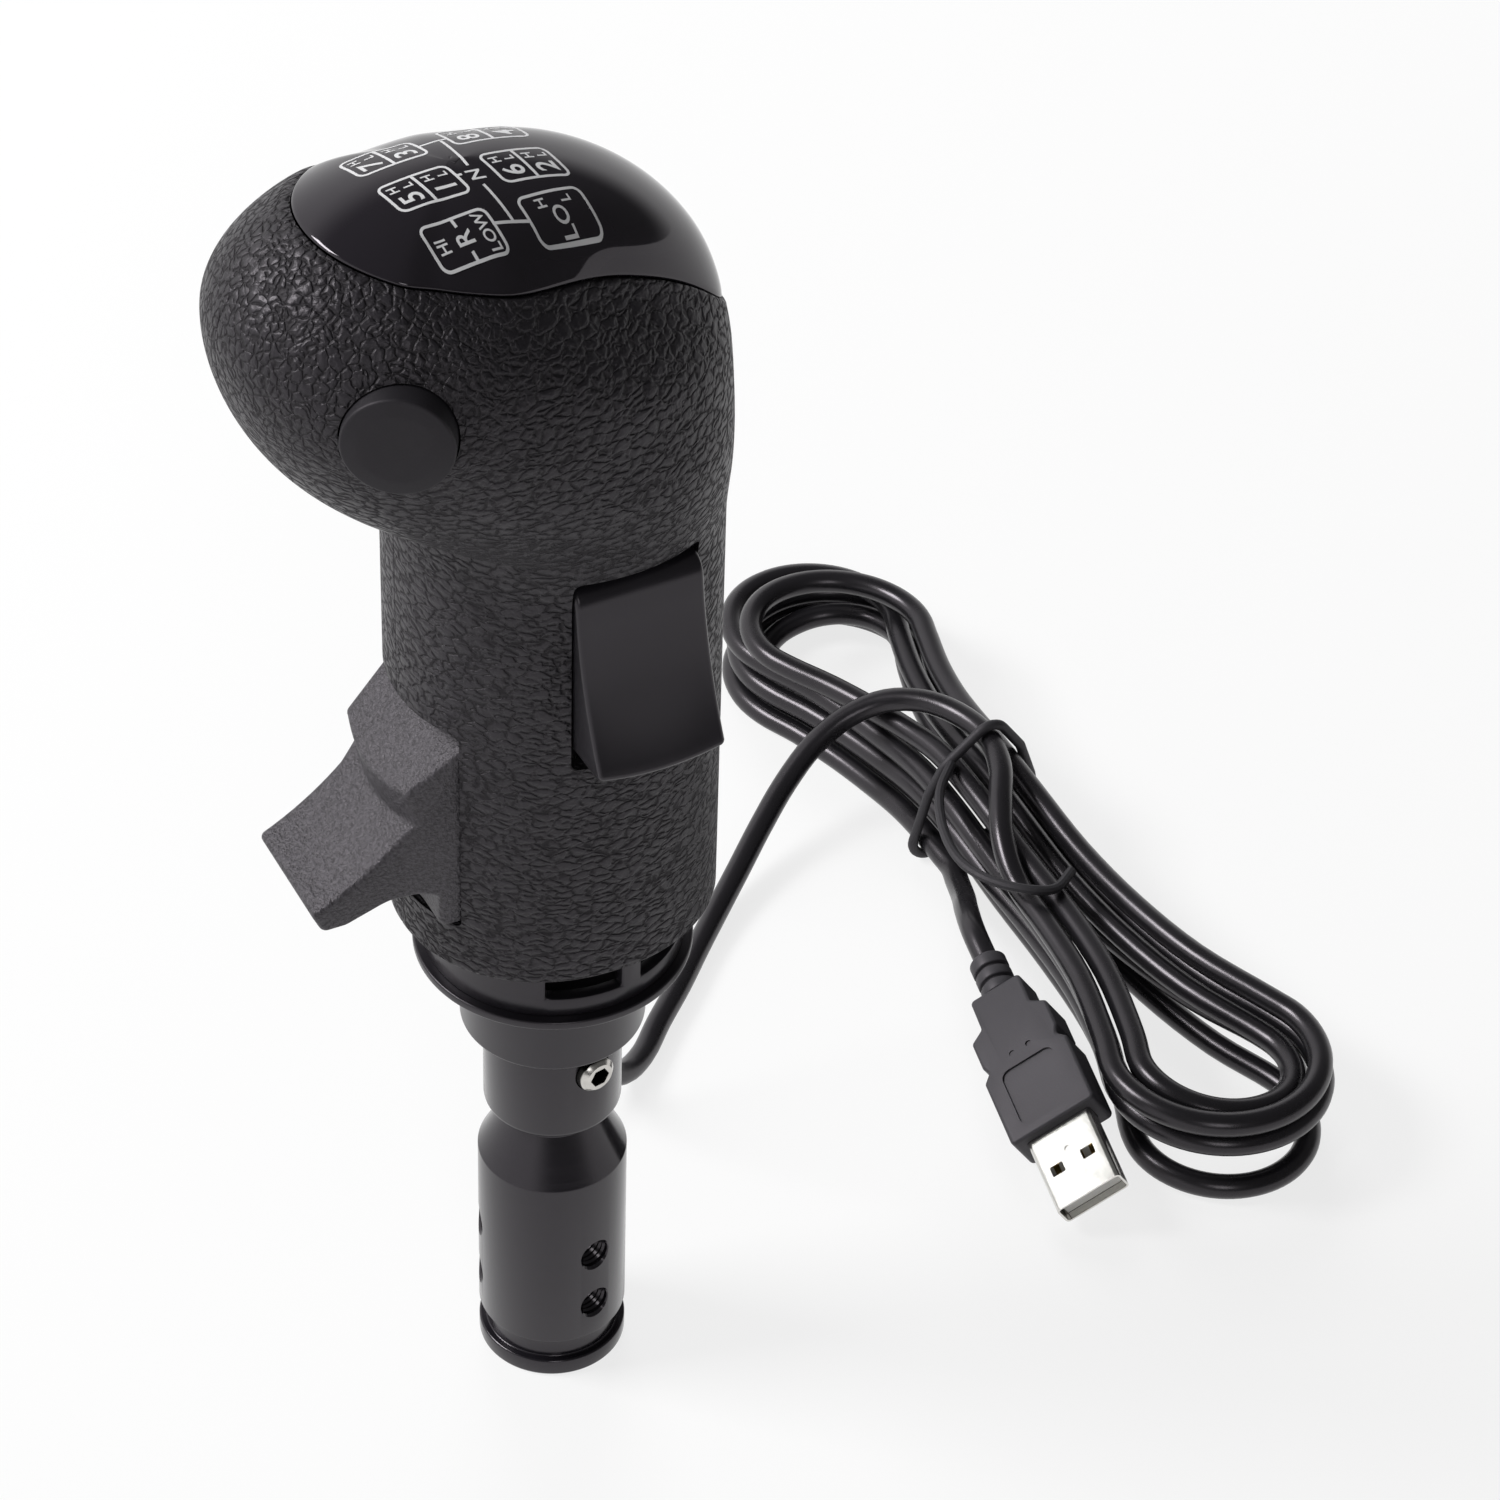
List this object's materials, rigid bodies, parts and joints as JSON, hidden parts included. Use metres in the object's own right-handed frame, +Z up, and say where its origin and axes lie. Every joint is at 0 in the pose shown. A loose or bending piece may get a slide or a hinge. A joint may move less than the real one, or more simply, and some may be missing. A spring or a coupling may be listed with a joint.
{
  "type": "sim racing gear shifter",
  "caption": "Truck-style gear knob for a driving simulator: sculpted grip with range lever, splitter rocker and push button on a clamped shaft adapter, with a bundled USB lead.",
  "frame": {"origin": "centre of the shaft adapter's lower end, on the floor", "axes": "+Z up along the shaft, -Y to the front where the range lever is, +X to the driver's left where the rocker and button are"},
  "size_m": [0.1719, 0.1862, 0.2283],
  "materials": {
    "grip_plastic": "black moulded plastic with a leather-like grain",
    "gloss_black": "polished black plastic",
    "satin_black": "satin black plastic",
    "lever_plastic": "fine spark texture, grey-black plastic",
    "anodised_black": "satin black anodised, turned",
    "nickel": "bright nickel plate",
    "steel": "zinc plated steel",
    "cable_jacket": "smooth soft black PVC",
    "plug_plastic": "fine matte dark grey overmould",
    "contact_gold": "gold plate",
    "insulator": "natural white nylon",
    "board_green": "solder mask on glass laminate",
    "print_white": "pale grey pad print"
  },
  "bodies": {
    "knob": {"shaft_adapter": "anodised_black", "clamp_sleeve": "anodised_black", "sleeve_set_screw": "nickel", "base_collar": "satin_black", "collar_bolt": "steel", "grip_shell_left": "grip_plastic", "grip_shell_right": "grip_plastic", "shell_screws": "steel", "top_cap": "gloss_black", "range_lever_pin": "steel", "range_switch": "satin_black", "splitter_pin": "steel", "splitter_switch": "satin_black", "button_switch": "satin_black", "button_board": "board_green", "controller_board": "board_green", "board_screws": "steel", "cable_header": "insulator", "inner_cable": "cable_jacket", "cable_grommet": "cable_jacket", "usb_cable_lead": "cable_jacket", "usb_cable_hank": "cable_jacket", "usb_cable_tail": "cable_jacket", "cable_tie": "cable_jacket", "plug_boot": "plug_plastic", "plug_body": "plug_plastic", "plug_shell": "nickel", "plug_tongue": "insulator", "plug_contacts": "contact_gold"},
    "lever": {"range_lever": "lever_plastic"},
    "rocker": {"splitter_rocker": "satin_black"},
    "button": {"push_button": "satin_black"}
  },
  "joints": [
    {"name": "range_lever_hinge", "type": "hinge", "parent": "knob", "child": "lever", "pos_m": [0, -0.009, 0.122], "axis": [-1, 0, 0], "range_deg": [0, 16]},
    {"name": "splitter_rocker_hinge", "type": "hinge", "parent": "knob", "child": "rocker", "pos_m": [0.013, 0.0026, 0.1535], "axis": [0, 1, 0], "range_deg": [0, 13]},
    {"name": "push_button_slide", "type": "slide", "parent": "knob", "child": "button", "axis": [-0.866, 0.5, 0], "range_m": [0, 0.002], "stiffness_N_per_m": 600}
  ]
}
